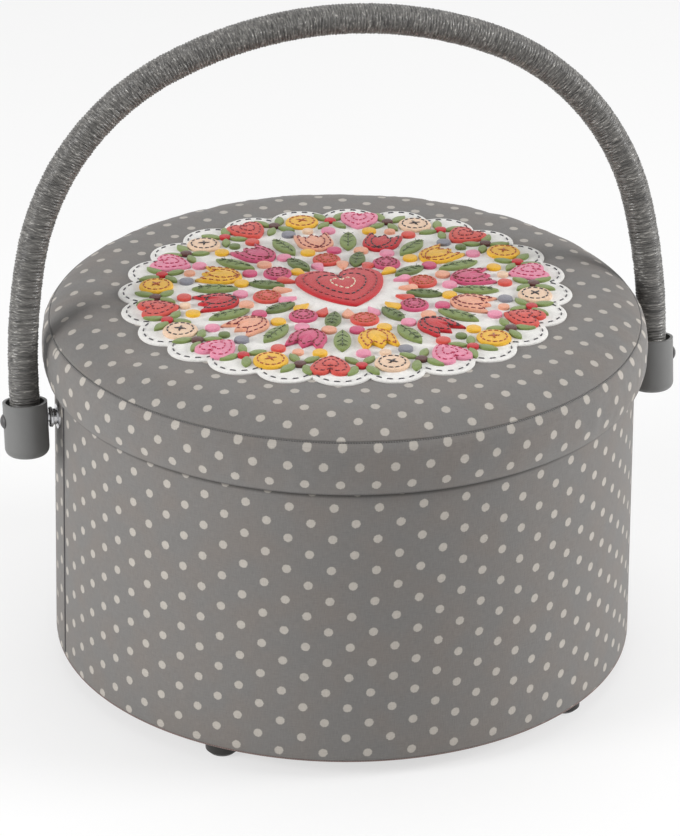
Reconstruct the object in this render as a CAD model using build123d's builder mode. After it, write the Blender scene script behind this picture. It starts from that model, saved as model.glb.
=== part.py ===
# Sewing box: a round cloth-covered box with a padded hinged lid, a swinging wound handle and a lift-out tray.
# Millimetres, +Z up. The origin lies on the table on the box's axis, +X runs along the handle's pivot line
# and the front faces -Y.
import os
from math import atan2, cos, hypot, pi, radians, sin

from build123d import *

os.makedirs("parts", exist_ok=True)

# Box wall: a card tube with cloth outside, a thick card lining inside and a collar that the lid drops over
wall_inner = 124.1
wall_outer = 126.5
cloth = 0.6
cover_top_radius = 127.1
cover_foot_radius = 128.8
cover_foot_round = 2.0
box_bottom = 7.2
rim_height = 134.5
rim_bevel = 0.9
wall_top = rim_height - 0.5
wall_bottom = box_bottom + 0.5
lining_inner = 120.0
ledge_height = 107.0
collar_inner = 122.6
collar_top = 146.5
base_thickness = 3.0
floor_cloth = 0.5
base_cover_thickness = 0.8
base_cover_radius = 126.4
base_top = box_bottom + base_thickness

# Feet
foot_circle = 118.0
foot_angle = 49.5
foot_radius = 7.5
foot_height = box_bottom - base_cover_thickness
foot_tread = 5.6
foot_waist = 7.2
foot_waist_height = 1.6
screw_recess = 3.2
screw_recess_depth = 1.8

# Lid: a shallow card drum with a padded crown, sewn to a padded band at the seam
lid_gap = 0.3
lid_bottom = rim_height + lid_gap
band_inner = 125.1
band_outer = 127.3
band_lining_inner = 124.7
band_bottom = lid_bottom + 0.5
top_board_low = 153.4
top_board_high = 156.2
lid_lining_thickness = 0.6
seam_radius = 129.0
seam_height = 158.4
seam_inner_radius = seam_radius - cloth
seam_inner_height = seam_height - 0.4
band_edge_radius = 129.5
band_edge_height = lid_bottom + 1.5
hem = 1.5
bulge_radius = 132.3
bulge_height = 148.0
crown_height = 167.2
shoulder_radius = 112.0

# Pincushion under the lid
cushion_radius = 46.0
cushion_edge = 5.0
cushion_depth = 14.0
cushion_flat = 18.0

# Hinge at the rear centre: a straight barrel, cranked to stand clear of the round wall
hinge_y = 131.6
hinge_z = 133.2
barrel_radius = 1.7
pin_radius = 0.85
pin_clearance = 0.05
hinge_width = 34.0
knuckles = 5
knuckle_gap = 0.3
pin_overhang = 0.4
leaf_overlap = 0.5
leaf_thickness = 0.8
box_leaf_face = 128.0
box_leaf_low = 121.6
box_leaf_high = hinge_z - 0.1
lid_leaf_back = 130.2
lid_leaf_low = hinge_z + barrel_radius + 0.4
lid_leaf_high = 148.5
leaf_corner = 3.0
rivet_x = 11.0
rivet_head = 2.1
rivet_head_height = 0.9
rivet_taper = 30
box_rivet_z = 125.9
lid_rivet_z = 143.2

# Handle: three tangent arcs a side, leaning back on its two bolts
pivot_height = 123.0
handle_lean = 9.0
half_span = 142.3
leg_tail = -12.5
leg_straight = 15.5
leg_arc_radius = 262.0
leg_arc_angle = 12.2
shoulder_arc_radius = 110.5
shoulder_arc_angle = 54.8
wrap_radius = 6.7

# Sockets at the handle's ends and the bolts through them
socket_radius = 9.7
socket_top = 8.0
socket_bottom = -16.3
socket_round = 4.0
socket_mouth = 8.4
socket_step = 2.6
socket_bore = 6.75
socket_lead = 1.2
socket_clearance = 0.1
bolt_shank = 2.0
bolt_running = 2.05
bolt_clearance = 2.1
hole_length = 24.0
bolt_head = 4.2
bolt_head_height = 2.0
bolt_head_bevel = 0.9
washer_radius = 5.5
washer_thickness = 0.8
washer_face = 122.45
spacer_near = 127.3
spacer_far = half_span - socket_radius - lid_gap
spacer_flange = 5.4
spacer_collar = 4.5
spacer_waist = 3.6
spacer_bead = 1.9
spacer_bevel = 0.5
cap_radius = 3.25
cap_running = 3.35
cap_seat = half_span + 8.3
cap_bottom = cap_seat + lid_gap
cap_shoulder = half_span + socket_radius
cap_dome = 1.5
bolt_end = cap_shoulder - 0.5

# Lift-out tray
tray_radius = 119.0
tray_flange = 122.2
tray_flange_thickness = 1.8
tray_flange_low = ledge_height + lid_gap
tray_top = tray_flange_low + tray_flange_thickness
tray_bottom = 71.0
tray_floor = 1.8
tray_wall = 1.8
tray_draft = 2.0
tray_bottom_bevel = 1.5
tray_floor_radius = tray_radius - (tray_top - tray_bottom) * sin(radians(tray_draft))
partition_top = tray_top
divider = 2.4
back_divider_x = 40.0
middle_divider_x = 30.0
front_divider_y = -46.0
notch_width = 14.0
grip_length = 92.0
grip_top = 122.0
grip_corner = 5.0
grip_hole_length = 68.0
grip_hole_height = 9.0
notch_depth = 9.4
notch_centre = tray_radius + 5.0

# Felt picture on the crown: a scalloped oval ground carrying rings of motifs round a heart
ground_reach = 99.0
ground_squash = 0.93
ground_scallops = 24
scallop_radius = 13.6
ground_felt = 1.0
motif_felt = 1.4
heart_size = 40.0
heart_shift = 2.0
leaf_ring = 35.0
leaf_count = 8
leaf_size = (16.0, 7.0)
tulip_ring = 57.0
tulip_count = 12
tulip_size = 19.0
spray_size = (20.0, 7.5)
outer_ring = 83.0
outer_count = 10
small_heart = 18.0
button_radius = 7.4


def save(part, name):
    part.label = name
    export_step(part, f"parts/{name}.step")


def stepped_arc(start, end, heading, steps):
    """The points after start of an arc that leaves it at a heading in degrees and ends at end."""
    across, up = end[0] - start[0], end[1] - start[1]
    first = radians(heading)
    half_turn = (atan2(up, across) - first + pi) % (2 * pi) - pi
    radius = hypot(across, up) / (2 * sin(half_turn))
    turns = [first + 2 * half_turn * k / steps for k in range(1, steps + 1)]
    return [
        (start[0] + radius * (sin(turn) - sin(first)), start[1] + radius * (cos(first) - cos(turn)))
        for turn in turns
    ]


def along_x(side, distance):
    """A plane at the pivot height, square to the pivot line and facing away from the box."""
    return Plane(origin=(side * distance, 0, pivot_height), z_dir=(side, 0, 0))


pivot_axis = Axis((0, 0, pivot_height), (1, 0, 0))
lean = radians(handle_lean)
lean_plane = Plane(origin=(0, 0, pivot_height), x_dir=(1, 0, 0), z_dir=(0, -cos(lean), sin(lean)))
foot_across = 2 * foot_circle * cos(radians(foot_angle))
foot_along = 2 * foot_circle * sin(radians(foot_angle))
foot_places = GridLocations(foot_across, foot_along, 2, 2)

# Feet: round plastic studs with a bevelled tread, each with a screw's recess in its tread
with BuildPart() as one_foot:
    with BuildSketch(Plane.XZ):
        with BuildLine():
            Polyline(
                (0, foot_height),
                (0, screw_recess_depth),
                (screw_recess, screw_recess_depth),
                (screw_recess, 0),
                (foot_tread, 0),
                (foot_waist, foot_waist_height),
                (foot_radius, foot_height),
                close=True,
            )
        make_face()
    revolve(axis=Axis.Z)

with BuildPart() as feet:
    with foot_places:
        add(one_foot.part)
save(feet.part, "feet")

# Base: a felt-covered underside, the card base and the cloth on the floor inside
with BuildPart() as base_cover:
    with BuildSketch(Plane.XY.offset(foot_height)):
        Circle(base_cover_radius)
    extrude(amount=base_cover_thickness)
save(base_cover.part, "base_cover")

with BuildPart() as base_board:
    with BuildSketch(Plane.XY.offset(box_bottom)):
        Circle(wall_inner)
    extrude(amount=base_thickness)
save(base_board.part, "base_board")

with BuildPart() as floor_lining:
    with BuildSketch(Plane.XY.offset(base_top)):
        Circle(lining_inner)
    extrude(amount=floor_cloth)
save(floor_lining.part, "floor_lining")

# Wall: card tube, cloth outside it that turns over the rim and under the foot, lining with the tray's ledge
with BuildPart() as wall_board:
    with BuildSketch(Plane.XY.offset(wall_bottom)):
        Circle(wall_outer)
        Circle(wall_inner, mode=Mode.SUBTRACT)
    extrude(amount=wall_top - wall_bottom)
    with Locations((-wall_outer, 0, pivot_height), (wall_outer, 0, pivot_height)):
        Cylinder(bolt_clearance, hole_length, rotation=(0, 90, 0), mode=Mode.SUBTRACT)
save(wall_board.part, "wall_board")

with BuildPart() as wall_cover:
    with BuildSketch(Plane.XZ):
        with BuildLine():
            foot_edge = (cover_foot_radius, box_bottom + cover_foot_round)
            Polyline(
                (wall_inner, box_bottom),
                (wall_inner, rim_height),
                (cover_top_radius - rim_bevel, rim_height),
                (cover_top_radius, rim_height - rim_bevel),
                foot_edge,
                *stepped_arc(foot_edge, (cover_foot_radius - cover_foot_round, box_bottom), -90, 2),
                close=True,
            )
        make_face()
    revolve(axis=Axis.Z)
    outer_form = wall_cover.part
    with BuildSketch(Plane.XY.offset(wall_bottom)):
        Circle(wall_outer)
        Circle(collar_inner, mode=Mode.SUBTRACT)
    extrude(amount=wall_top - wall_bottom, mode=Mode.SUBTRACT)
    with Locations((-wall_outer, 0, pivot_height), (wall_outer, 0, pivot_height)):
        Cylinder(bolt_clearance, hole_length, rotation=(0, 90, 0), mode=Mode.SUBTRACT)
save(wall_cover.part, "wall_cover")

with BuildPart() as wall_lining:
    with BuildSketch(Plane.XY.offset(base_top)):
        Circle(wall_inner)
        Circle(lining_inner, mode=Mode.SUBTRACT)
    extrude(amount=ledge_height - base_top)
save(wall_lining.part, "wall_lining")

with BuildPart() as rim_collar:
    with BuildSketch(Plane.XY.offset(ledge_height)):
        Circle(wall_inner)
        Circle(collar_inner, mode=Mode.SUBTRACT)
    extrude(amount=collar_top - ledge_height)
    with Locations((-wall_outer, 0, pivot_height), (wall_outer, 0, pivot_height)):
        Cylinder(bolt_clearance, hole_length, rotation=(0, 90, 0), mode=Mode.SUBTRACT)
save(rim_collar.part, "rim_collar")

# Handle pivots: from the inside out, a pan head bolt, a washer, a chromed spacer and a domed cap nut
head_face = washer_face - washer_thickness
with BuildPart() as pivot_bolts:
    for side in (-1, 1):
        with BuildSketch(along_x(side, head_face - bolt_head_height)):
            Circle(bolt_head)
        extrude(amount=bolt_head_height)
    middle_faces = pivot_bolts.faces().filter_by(Axis.X).sort_by_distance((0, 0, pivot_height))[:2]
    chamfer(middle_faces.edges(), bolt_head_bevel)
    for side in (-1, 1):
        with BuildSketch(along_x(side, head_face)):
            Circle(bolt_shank)
        extrude(amount=bolt_end - head_face)
save(pivot_bolts.part, "pivot_bolts")

with BuildPart() as pivot_spacers:
    for side in (-1, 1):
        with BuildSketch(Plane.XZ):
            with BuildLine():
                flange, collar = pivot_height + spacer_flange, pivot_height + spacer_collar
                waist, bore = pivot_height + spacer_waist, pivot_height + bolt_shank
                Polyline(
                    (side * spacer_near, bore),
                    (side * spacer_near, flange - spacer_bevel),
                    (side * (spacer_near + spacer_bevel), flange),
                    (side * (spacer_near + spacer_bead - spacer_bevel), flange),
                    (side * (spacer_near + spacer_bead), waist),
                    (side * (spacer_far - spacer_bead), waist),
                    (side * (spacer_far - spacer_bead + spacer_bevel), collar),
                    (side * (spacer_far - spacer_bevel), collar),
                    (side * spacer_far, collar - spacer_bevel),
                    (side * spacer_far, bore),
                    close=True,
                )
            make_face()
        revolve(axis=pivot_axis)
save(pivot_spacers.part, "pivot_spacers")

with BuildPart() as pivot_washers:
    for side in (-1, 1):
        with BuildSketch(along_x(side, washer_face - washer_thickness)):
            Circle(washer_radius)
            Circle(bolt_shank, mode=Mode.SUBTRACT)
        extrude(amount=washer_thickness)
save(pivot_washers.part, "pivot_washers")

with BuildPart() as pivot_caps:
    for side in (-1, 1):
        with BuildSketch(Plane.XZ):
            with BuildLine():
                seat, shoulder = side * cap_bottom, side * cap_shoulder
                tip, blind = side * (cap_shoulder + cap_dome), side * bolt_end
                axis_z = pivot_height
                Line((seat, axis_z + bolt_shank), (seat, axis_z + cap_radius))
                Line((seat, axis_z + cap_radius), (shoulder, axis_z + cap_radius))
                TangentArc((tip, axis_z), (shoulder, axis_z + cap_radius), tangent=(0, 1))
                Line((tip, axis_z), (blind, axis_z))
                Line((blind, axis_z), (blind, axis_z + bolt_shank))
                Line((blind, axis_z + bolt_shank), (seat, axis_z + bolt_shank))
            make_face()
        revolve(axis=pivot_axis)
save(pivot_caps.part, "pivot_caps")

# Rear hinge: the box leaf seats on the wall's curve and carries the outer and middle knuckles, and each leaf
# is one with its rivet heads
knuckle_pitch = hinge_width / knuckles
knuckle_length = knuckle_pitch - knuckle_gap
knuckle_centres = [(k - (knuckles - 1) / 2) * knuckle_pitch for k in range(knuckles)]
barrel_plane = Plane(origin=(0, hinge_y, hinge_z), x_dir=(0, 1, 0), z_dir=(1, 0, 0))

with BuildPart() as hinge_leaf_box:
    with BuildSketch(Plane.XZ.offset(-wall_outer)):
        with Locations((0, (box_leaf_low + box_leaf_high) / 2)):
            Rectangle(hinge_width, box_leaf_high - box_leaf_low)
    extrude(amount=-(box_leaf_face - wall_outer))
    fillet(hinge_leaf_box.edges().filter_by(Axis.Y).group_by(Axis.Z)[0], leaf_corner)
    for centre in knuckle_centres[::2]:
        with BuildSketch(barrel_plane.offset(centre - knuckle_length / 2)):
            Circle(barrel_radius)
            tab_length = hinge_y - box_leaf_face + leaf_overlap
            with Locations((-tab_length / 2, box_leaf_high - hinge_z - leaf_thickness / 2)):
                Rectangle(tab_length, leaf_thickness)
        extrude(amount=knuckle_length)
    add(outer_form, mode=Mode.SUBTRACT)
    with BuildSketch(barrel_plane.offset(-hinge_width)):
        Circle(pin_radius)
    extrude(amount=2 * hinge_width, mode=Mode.SUBTRACT)
    with BuildSketch(Plane.XZ.offset(-box_leaf_face)):
        with Locations((-rivet_x, box_rivet_z), (rivet_x, box_rivet_z)):
            Circle(rivet_head)
    extrude(amount=-rivet_head_height, taper=rivet_taper)
save(hinge_leaf_box.part, "hinge_leaf_box")

with BuildPart() as hinge_leaf_lid:
    with BuildSketch(Plane.XZ.offset(-lid_leaf_back)):
        with Locations((0, (lid_leaf_low + lid_leaf_high) / 2)):
            Rectangle(hinge_width, lid_leaf_high - lid_leaf_low)
    extrude(amount=-leaf_thickness)
    fillet(hinge_leaf_lid.edges().filter_by(Axis.Y).group_by(Axis.Z)[-1], leaf_corner)
    for centre in knuckle_centres[1::2]:
        with BuildSketch(barrel_plane.offset(centre - knuckle_length / 2)):
            Circle(barrel_radius)
            tab_y = lid_leaf_back + leaf_thickness / 2 - hinge_y
            tab_height = lid_leaf_low + leaf_overlap - hinge_z
            with Locations((tab_y, tab_height / 2)):
                Rectangle(leaf_thickness, tab_height)
        extrude(amount=knuckle_length)
    with BuildSketch(barrel_plane.offset(-hinge_width)):
        Circle(pin_radius + pin_clearance)
    extrude(amount=2 * hinge_width, mode=Mode.SUBTRACT)
    with BuildSketch(Plane.XZ.offset(-lid_leaf_back - leaf_thickness)):
        with Locations((-rivet_x, lid_rivet_z), (rivet_x, lid_rivet_z)):
            Circle(rivet_head)
    extrude(amount=-rivet_head_height, taper=rivet_taper)
save(hinge_leaf_lid.part, "hinge_leaf_lid")

with BuildPart() as hinge_pin:
    with BuildSketch(barrel_plane.offset(-hinge_width / 2 - pin_overhang)):
        Circle(pin_radius)
    extrude(amount=hinge_width + 2 * pin_overhang)
save(hinge_pin.part, "hinge_pin")

# Lid: card band and top board, then padding, cloth and linings
with BuildPart() as lid_band_board:
    with BuildSketch(Plane.XY.offset(band_bottom)):
        Circle(band_outer)
        Circle(band_inner, mode=Mode.SUBTRACT)
    extrude(amount=top_board_low - band_bottom)
save(lid_band_board.part, "lid_band_board")

with BuildPart() as lid_top_board:
    with BuildSketch(Plane.XY.offset(top_board_low)):
        Circle(band_outer)
    extrude(amount=top_board_high - top_board_low)
save(lid_top_board.part, "lid_top_board")

with BuildPart() as lid_band_lining:
    with BuildSketch(Plane.XY.offset(lid_bottom)):
        Circle(band_inner)
        Circle(band_lining_inner, mode=Mode.SUBTRACT)
    extrude(amount=top_board_low - lid_lining_thickness - lid_bottom)
save(lid_band_lining.part, "lid_band_lining")

with BuildPart() as lid_lining:
    with BuildSketch(Plane.XY.offset(top_board_low - lid_lining_thickness)):
        Circle(band_inner)
    extrude(amount=lid_lining_thickness)
save(lid_lining.part, "lid_lining")

recess_half = hinge_width / 2 + lid_gap
recess_top = lid_leaf_high + 0.5


def band_line(inset):
    """The outside of the padded band, from its lower edge over the bulge to the seam."""
    bulge = (bulge_radius - inset, bulge_height)
    seam = (seam_inner_radius, seam_inner_height) if inset else (seam_radius, seam_height)
    lower = stepped_arc(bulge, (band_edge_radius - inset, band_edge_height), -90, 2)
    return [*reversed(lower), bulge, *stepped_arc(bulge, seam, 90, 2)]


def crown_line(inset):
    """The outside of the padded crown, from its middle over the rounded shoulder to the seam."""
    seam = (seam_inner_radius, seam_inner_height) if inset else (seam_radius, seam_height)
    shoulder = (shoulder_radius, crown_height - inset)
    return [(0, crown_height - inset), shoulder, *stepped_arc(shoulder, seam, 0, 3)]


with BuildPart() as lid_band_padding:
    with BuildSketch(Plane.XZ):
        with BuildLine():
            Polyline((band_outer, band_bottom), *band_line(cloth), (band_outer, top_board_high), close=True)
        make_face()
    revolve(axis=Axis.Z)
    with Locations((0, lid_leaf_back - cloth, recess_top + cloth)):
        Box(
            2 * (recess_half + cloth),
            hinge_width,
            2 * (recess_top + cloth - lid_bottom),
            align=(Align.CENTER, Align.MIN, Align.CENTER),
            mode=Mode.SUBTRACT,
        )
save(lid_band_padding.part, "lid_band_padding")

with BuildPart() as lid_band_cover:
    with BuildSketch(Plane.XZ):
        with BuildLine():
            Polyline(
                (band_inner, lid_bottom),
                (band_edge_radius - hem, lid_bottom),
                *band_line(0),
                (seam_inner_radius, seam_inner_height),
                (band_outer, top_board_high),
                (band_outer, band_bottom),
                (band_inner, band_bottom),
                close=True,
            )
        make_face()
    revolve(axis=Axis.Z)
    with Locations((0, lid_leaf_back, recess_top)):
        Box(
            2 * recess_half,
            hinge_width,
            2 * (recess_top - lid_bottom),
            align=(Align.CENTER, Align.MIN, Align.CENTER),
            mode=Mode.SUBTRACT,
        )
    add(lid_band_padding.part, mode=Mode.SUBTRACT)
save(lid_band_cover.part, "lid_band_cover")

with BuildPart() as lid_padding:
    with BuildSketch(Plane.XZ):
        with BuildLine():
            Polyline(*crown_line(cloth), (band_outer, top_board_high), (0, top_board_high), close=True)
        make_face()
    revolve(axis=Axis.Z)
save(lid_padding.part, "lid_padding")

with BuildPart() as lid_top_cover:
    with BuildSketch(Plane.XZ):
        with BuildLine():
            Polyline(
                *crown_line(0),
                (seam_inner_radius, seam_inner_height),
                (band_outer, top_board_high),
                (0, top_board_high),
                close=True,
            )
        make_face()
    revolve(axis=Axis.Z)
    add(lid_padding.part, mode=Mode.SUBTRACT)
save(lid_top_cover.part, "lid_top_cover")

# Pincushion: a stuffed disc with a drawn-in edge, glued under the lid
cushion_top = top_board_low - lid_lining_thickness
with BuildPart() as pincushion:
    with BuildSketch(Plane.XZ):
        with BuildLine():
            belly = (cushion_flat, cushion_top - cushion_depth)
            rolled = cushion_radius - cushion_edge / 2
            Polyline(
                (0, cushion_top - cushion_depth),
                belly,
                *stepped_arc(belly, (rolled, cushion_top - cushion_edge), 0, 2),
                *stepped_arc((rolled, cushion_top - cushion_edge), (rolled, cushion_top), 0, 2),
                (0, cushion_top),
                close=True,
            )
        make_face()
    revolve(axis=Axis.Z)
save(pincushion.part, "pincushion")

# Felt picture: a ground of one felt and motifs of another laid on it
def ring_places(radius, count, start=0.0):
    """Places round an oval ring, each turned so that its own +Y points outwards."""
    angles = [start + k * 360 / count for k in range(count)]
    return [
        Location((radius * cos(radians(a)), radius * ground_squash * sin(radians(a)), 0), (0, 0, 1), a - 90)
        for a in angles
    ]


def heart(size):
    with BuildSketch(mode=Mode.PRIVATE) as outline:
        with BuildLine():
            ThreePointArc((0, 0.25 * size), (0.3 * size, 0.46 * size), (0.48 * size, 0.18 * size))
            ThreePointArc((0.48 * size, 0.18 * size), (0.33 * size, -0.2 * size), (0, -0.5 * size))
            mirror(about=Plane.YZ)
        make_face()
    return outline.sketch


def tulip(size):
    with BuildSketch(mode=Mode.PRIVATE) as outline:
        with BuildLine():
            ThreePointArc((0, -0.5 * size), (0.34 * size, -0.28 * size), (0.42 * size, 0.1 * size))
            Polyline(
                (0.42 * size, 0.1 * size),
                (0.4 * size, 0.5 * size),
                (0.17 * size, 0.2 * size),
                (0, 0.46 * size),
            )
            mirror(about=Plane.YZ)
        make_face()
    return outline.sketch


def leaf(length, width):
    with BuildSketch(mode=Mode.PRIVATE) as outline:
        with BuildLine():
            ThreePointArc((0, -length / 2), (width / 2, 0), (0, length / 2))
            mirror(about=Plane.YZ)
        make_face()
    return outline.sketch


with BuildPart() as picture_ground:
    with BuildSketch(Plane.XY.offset(crown_height)):
        with Locations(*ring_places(ground_reach - scallop_radius, ground_scallops)):
            Circle(scallop_radius)
        Ellipse(ground_reach - scallop_radius, (ground_reach - scallop_radius) * ground_squash)
    extrude(amount=ground_felt)
save(picture_ground.part, "picture_ground")

with BuildSketch() as button:
    Circle(button_radius)
motif_places = {
    "picture_heart": [(heart(heart_size), [Location((0, heart_shift, 0))])],
    "picture_leaves": [
        (leaf(*leaf_size), ring_places(leaf_ring, leaf_count, 180 / leaf_count)),
        (leaf(*spray_size), ring_places(tulip_ring, tulip_count, 180 / tulip_count)),
    ],
    "picture_tulips": [(tulip(tulip_size), ring_places(tulip_ring, tulip_count))],
    "picture_hearts": [(heart(small_heart), ring_places(outer_ring, outer_count))],
    "picture_buttons": [(button.sketch, ring_places(outer_ring, outer_count, 180 / outer_count))],
}
for name, groups in motif_places.items():
    with BuildPart() as motifs:
        for outline, places in groups:
            with BuildSketch(Plane.XY.offset(crown_height + ground_felt)):
                with Locations(*places):
                    add(outline)
            extrude(amount=motif_felt)
    save(motifs.part, name)

# Handle: one wound rod, swept along three arcs a side
with BuildLine(lean_plane) as handle_path:
    tail = Line((-half_span, leg_tail), (-half_span, leg_straight))
    leg = JernArc(start=tail @ 1, tangent=(0, 1), radius=leg_arc_radius, arc_size=-leg_arc_angle)
    turned = radians(leg_arc_angle)
    shoulder = JernArc(
        start=leg @ 1,
        tangent=(sin(turned), cos(turned)),
        radius=shoulder_arc_radius,
        arc_size=-shoulder_arc_angle,
    )
    turned = radians(leg_arc_angle + shoulder_arc_angle)
    span_left = (
        half_span
        - leg_arc_radius * (1 - cos(radians(leg_arc_angle)))
        - shoulder_arc_radius * (cos(radians(leg_arc_angle)) - cos(turned))
    )
    top_arc_radius = span_left / cos(turned)
    JernArc(
        start=shoulder @ 1,
        tangent=(sin(turned), cos(turned)),
        radius=top_arc_radius,
        arc_size=-(90 - leg_arc_angle - shoulder_arc_angle),
    )
    mirror(about=Plane(origin=lean_plane.origin, z_dir=(1, 0, 0)))

end_plane = Plane(origin=handle_path.line @ 0, z_dir=handle_path.line % 0)
with BuildPart() as handle_grip:
    with BuildSketch(end_plane):
        Circle(wrap_radius)
    sweep(path=handle_path.line)
    with Locations((-half_span, 0, pivot_height), (half_span, 0, pivot_height)):
        Cylinder(bolt_running, hole_length, rotation=(0, 90, 0), mode=Mode.SUBTRACT)
save(handle_grip.part, "handle_grip")

with BuildPart() as handle_sockets:
    for side in (-1, 1):
        with BuildPart(mode=Mode.PRIVATE) as socket:
            with BuildSketch(lean_plane):
                x = side * half_span
                with BuildLine():
                    Polyline(
                        (x, socket_bottom),
                        (x + socket_radius, socket_bottom),
                        (x + socket_radius, socket_top),
                        (x + socket_mouth, socket_top),
                        (x + socket_mouth, socket_step),
                        (x + socket_bore, socket_step - socket_lead),
                        (x + socket_bore, leg_tail - socket_clearance),
                        (x, leg_tail - socket_clearance),
                        close=True,
                    )
                make_face()
            socket_line = Axis(lean_plane.from_local_coords((x, 0, 0)), lean_plane.y_dir)
            revolve(axis=socket_line)
            fillet(socket.edges().filter_by(GeomType.CIRCLE).sort_by(socket_line)[0], socket_round)
        add(socket.part)
        with Locations((x, 0, pivot_height)):
            Cylinder(bolt_running, hole_length, rotation=(0, 90, 0), mode=Mode.SUBTRACT)
        with Locations((side * (cap_seat + hole_length / 2), 0, pivot_height)):
            Cylinder(cap_running, hole_length, rotation=(0, 90, 0), mode=Mode.SUBTRACT)
save(handle_sockets.part, "handle_sockets")

# Tray: a drafted bowl whose flange rests on the ledge, its partitions, and a finger grip on the middle one
cavity_floor = tray_bottom + tray_floor
with BuildPart() as tray_cavity:
    with BuildSketch(Plane.XY.offset(cavity_floor)):
        Circle(tray_floor_radius - tray_wall)
    extrude(amount=tray_top - cavity_floor, taper=-tray_draft)

with BuildPart() as tray:
    with BuildSketch(Plane.XY.offset(tray_bottom)):
        Circle(tray_floor_radius)
    extrude(amount=tray_top - tray_bottom, taper=-tray_draft)
    chamfer(tray.faces().sort_by(Axis.Z)[0].edges(), tray_bottom_bevel)
    with BuildSketch(Plane.XY.offset(tray_flange_low)):
        Circle(tray_flange)
    extrude(amount=tray_flange_thickness)
    with Locations((-notch_centre, 0, tray_top), (notch_centre, 0, tray_top)):
        Box(notch_depth, notch_width, 3 * tray_flange_thickness, mode=Mode.SUBTRACT)
    add(tray_cavity.part, mode=Mode.SUBTRACT)
save(tray.part, "tray")

with BuildPart() as tray_partitions:
    with BuildSketch(Plane.XY.offset(cavity_floor)):
        Rectangle(2 * tray_flange, divider)
        with Locations((0, front_divider_y)):
            Rectangle(2 * tray_flange, divider)
        with Locations((-back_divider_x, tray_flange / 2), (back_divider_x, tray_flange / 2)):
            Rectangle(divider, tray_flange)
        with Locations((middle_divider_x, front_divider_y / 2)):
            Rectangle(divider, -front_divider_y)
    extrude(amount=partition_top - cavity_floor)
    add(tray_cavity.part, mode=Mode.INTERSECT)
save(tray_partitions.part, "tray_partitions")

with BuildPart() as tray_grip:
    with BuildSketch(Plane.XZ.offset(-divider / 2)):
        with Locations((0, (grip_top + partition_top) / 2)):
            Rectangle(grip_length, grip_top - partition_top)
        with Locations((0, partition_top + grip_hole_height / 2)):
            Rectangle(grip_hole_length, grip_hole_height, mode=Mode.SUBTRACT)
    extrude(amount=divider)
    fillet(tray_grip.edges().filter_by(Axis.Y).group_by(Axis.Z)[-1], grip_corner)
save(tray_grip.part, "tray_grip")
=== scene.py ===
"""Sewing box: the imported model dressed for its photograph, in the row frame.

Sizes and points are in millimetres, and are multiplied by MM where Blender takes them in metres. The origin is on the
table under the middle of the box, and the front is towards -Y.
"""

from math import atan2, cos, hypot, pi, radians, sin, sqrt, tau

import bmesh
import bpy
from mathutils import Matrix, Vector, noise


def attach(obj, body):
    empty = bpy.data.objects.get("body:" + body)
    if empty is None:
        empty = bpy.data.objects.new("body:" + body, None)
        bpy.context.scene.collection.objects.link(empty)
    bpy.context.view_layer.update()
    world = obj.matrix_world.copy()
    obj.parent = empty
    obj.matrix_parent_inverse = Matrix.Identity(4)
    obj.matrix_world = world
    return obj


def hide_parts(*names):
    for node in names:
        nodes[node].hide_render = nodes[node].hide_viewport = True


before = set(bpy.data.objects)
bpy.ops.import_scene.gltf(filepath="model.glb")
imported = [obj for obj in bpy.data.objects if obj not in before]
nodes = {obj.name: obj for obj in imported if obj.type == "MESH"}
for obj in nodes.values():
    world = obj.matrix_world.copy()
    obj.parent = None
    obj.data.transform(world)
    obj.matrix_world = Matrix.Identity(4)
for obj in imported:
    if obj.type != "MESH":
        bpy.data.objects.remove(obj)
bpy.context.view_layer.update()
MM = 0.001

# Lid: the crown and the band meet at the seam, and the hinge's leaf lies against the band's back. Here and below,
# a pair is a radius and a height unless it says otherwise
SEAM_RADIUS = 129.0
SEAM_HEIGHT = 158.4
SEAM_DEPTH = 0.9
TOP_BOARD = 156.2
CROWN_HEIGHT = 168.2
DOME_SPHERE = 4160.0
SHOULDER_RADIUS = 108.0
LID_BOTTOM = 134.8
BAND_INNER = 125.1
BAND_OUTER = 127.3
BAND_EDGE_RADIUS = 130.6
BULGE_RADIUS = 132.3
BULGE_HEIGHT = 145.5
BAND_SHOULDER = (131.5, 154.3)
PUCKER_START = 102.0
HOLLOW_RADIUS = 32.0
HOLLOW_DEPTH = 1.8
LEAF_BACK = 130.2
LEAF_HALF_WIDTH = 17.3
LEAF_TOP = 149.0
HOLLOW_X, HOLLOW_Y = -104.0, -34.0
MIDDLE = 0.01  # a turned profile's first radius, just off the axis

# Pincushion under the lid
CUSHION_TOP = 152.8
CUSHION_RADIUS = 46.0
CUSHION_EDGE = 5.0
CUSHION_DEPTH = 14.0
CUSHION_ROUND = 2.5
GATHER_START = 24.0

# Wall: a slight cone, with its lap at the left, the hem at its foot and four feet at (+-X, +-Y)
WALL_TOP = (127.1, 133.6)
WALL_FOOT = (128.8, 9.2)
LAP = radians(183.2)
FLAP_START = radians(176.5)
FLAP_BOTTOM = 10.5
FLAP_TOP = 133.0
FLAP_LIFT = 0.45
HEM = (128.25, 7.75)
FOOT_PLACE = (76.635, 89.728)
FOOT_RECESS = 1.8

# Handle: legs, leg arcs, shoulder arcs and a top arc, in its own plane. An arc is a radius and a sweep
PIVOT_HEIGHT = 123.0
HANDLE_LEAN = radians(9.0)
HALF_SPAN = 142.3
LEG_TAIL = -12.5
LEG_STRAIGHT = 15.5
LEG_ARC = (262.0, radians(12.2))
SHOULDER_ARC = (110.5, radians(54.8))
WRAP_RADIUS = 6.7
THREAD_PITCH = 1.3

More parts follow.
